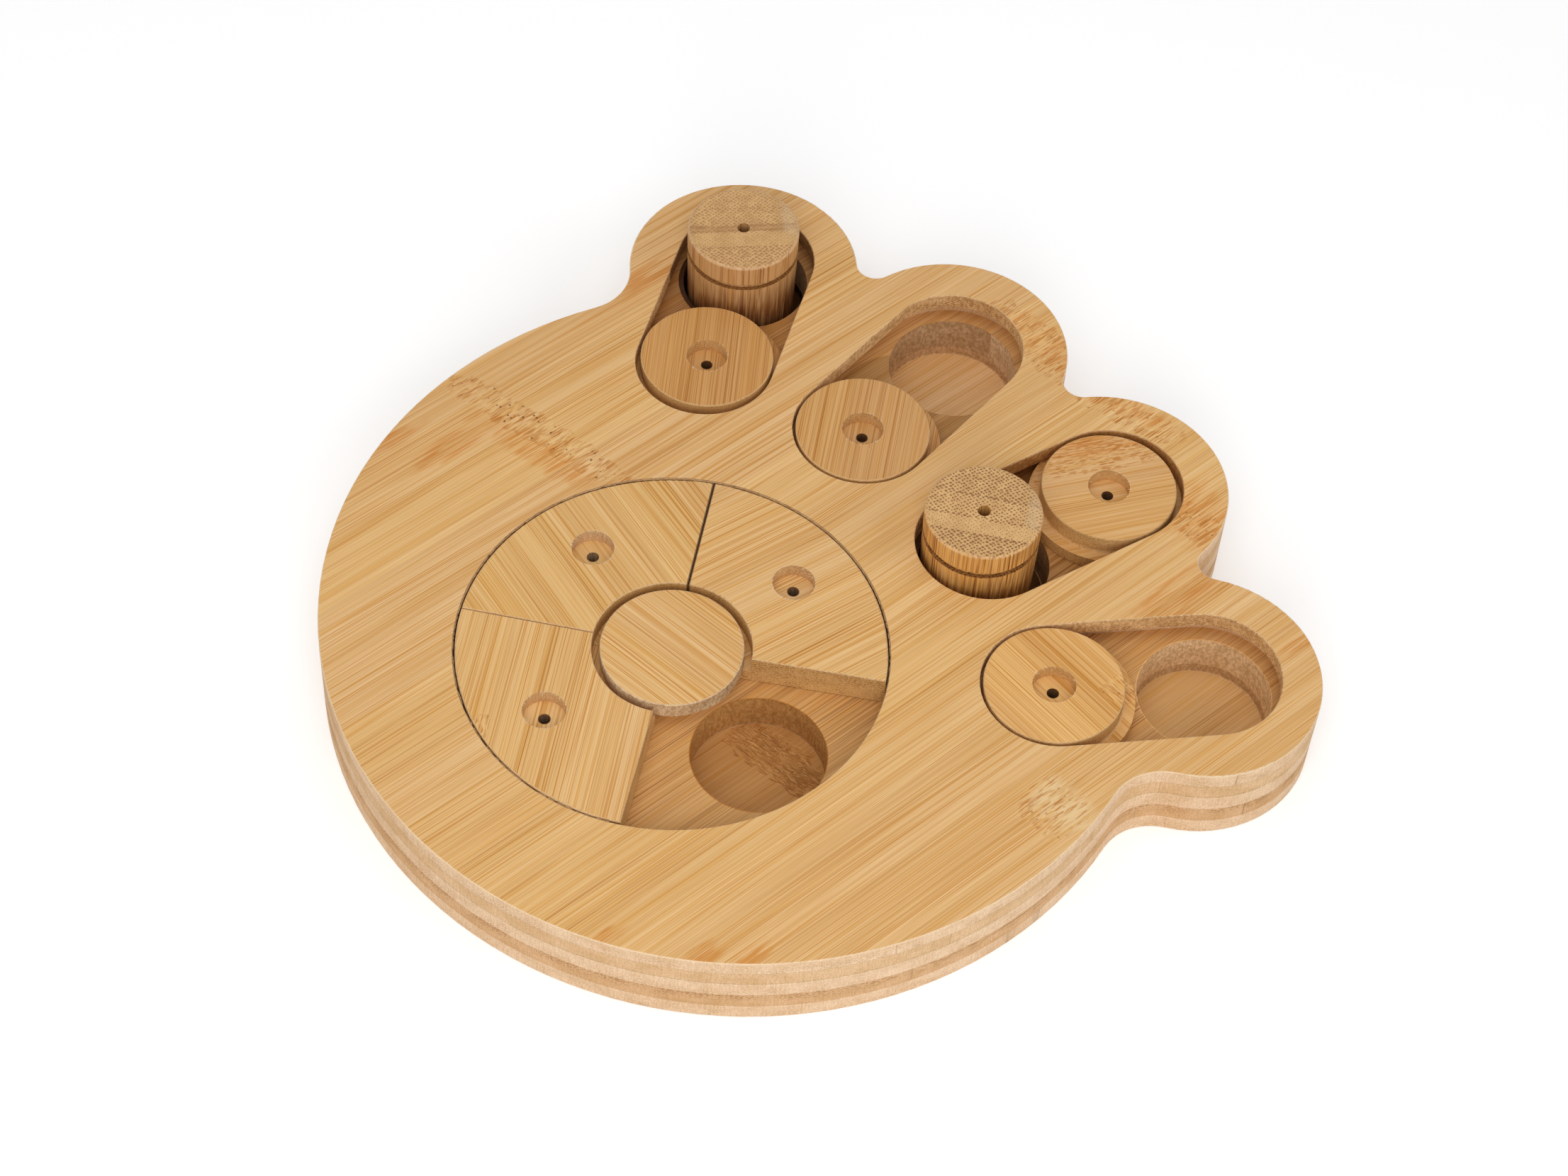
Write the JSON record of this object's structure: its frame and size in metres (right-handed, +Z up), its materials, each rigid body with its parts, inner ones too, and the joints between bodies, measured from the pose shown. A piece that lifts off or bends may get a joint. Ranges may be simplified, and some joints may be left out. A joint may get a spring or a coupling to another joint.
{
  "type": "dog puzzle feeder toy",
  "caption": "Flat paw-shaped treat puzzle board: tiles turn round a hub in the pad, round sliders run in toe slots, and grooved plugs lift out of pockets.",
  "frame": {"origin": "on the hub's axis, at the board's underside", "axes": "+Y from the heel to the toes, +Z up out of the board, +X towards toe 4"},
  "size_m": [0.2942, 0.2909, 0.0446],
  "materials": {
    "board_bamboo": "sanded flat-pressed bamboo, caramel, oiled satin",
    "tile_bamboo": "sanded bamboo, satin",
    "slider_bamboo": "sanded bamboo, satin",
    "plug_bamboo": "turned bamboo, end grain on top, matt"
  },
  "bodies": {
    "board": {"base_ply_lower": "board_bamboo", "base_ply_middle": "board_bamboo", "base_ply_upper": "board_bamboo", "channel_ply": "board_bamboo", "lip_ply": "board_bamboo", "hub": "tile_bamboo"},
    "tile_a": {"ring_tile_a": "tile_bamboo"},
    "tile_b": {"ring_tile_b": "tile_bamboo"},
    "tile_c": {"ring_tile_c": "tile_bamboo"},
    "slider_1": {"toe_slider_1": "slider_bamboo"},
    "slider_2": {"toe_slider_2": "slider_bamboo"},
    "slider_3": {"toe_slider_3": "slider_bamboo"},
    "slider_4": {"toe_slider_4": "slider_bamboo"},
    "plug_1": {"plug_toe_1": "plug_bamboo"},
    "plug_3": {"plug_toe_3": "plug_bamboo"}
  },
  "joints": [
    {"name": "slider_1_slide", "type": "slide", "parent": "board", "child": "slider_1", "axis": [-0.5534, 0.8329, 0], "range_m": [-0.0025, 0.0011]},
    {"name": "slider_2_slide", "type": "slide", "parent": "board", "child": "slider_2", "axis": [-0.1685, 0.9857, 0], "range_m": [0, 0.0482]},
    {"name": "slider_3_slide", "type": "slide", "parent": "board", "child": "slider_3", "axis": [0.1685, 0.9857, 0], "range_m": [-0.0042, 0.0015]},
    {"name": "slider_4_slide", "type": "slide", "parent": "board", "child": "slider_4", "axis": [0.5534, 0.8329, 0], "range_m": [0, 0.0482]},
    {"name": "tile_a_turn", "type": "hinge", "parent": "board", "child": "tile_a", "pos_m": [0, 0, 0.0186], "axis": [0, 0, 1], "range_deg": [0, 92.1]},
    {"name": "tile_b_turn", "type": "hinge", "parent": "board", "child": "tile_b", "pos_m": [0, 0, 0.0186], "axis": [0, 0, 1], "range_deg": [-92.1, 0]},
    {"name": "tile_c_turn", "type": "hinge", "parent": "board", "child": "tile_c", "pos_m": [0, 0, 0.0186], "axis": [0, 0, 1], "range_deg": [0, 92.1]},
    {"name": "plug_1_lift", "type": "slide", "parent": "board", "child": "plug_1", "axis": [0, 0, 1], "range_m": [0, 0.06]},
    {"name": "plug_3_lift", "type": "slide", "parent": "board", "child": "plug_3", "axis": [0, 0, 1], "range_m": [0, 0.06]}
  ],
  "couplings": [
    {"joint": "tile_c_turn", "follows": "tile_a_turn", "ratio": 1}
  ]
}
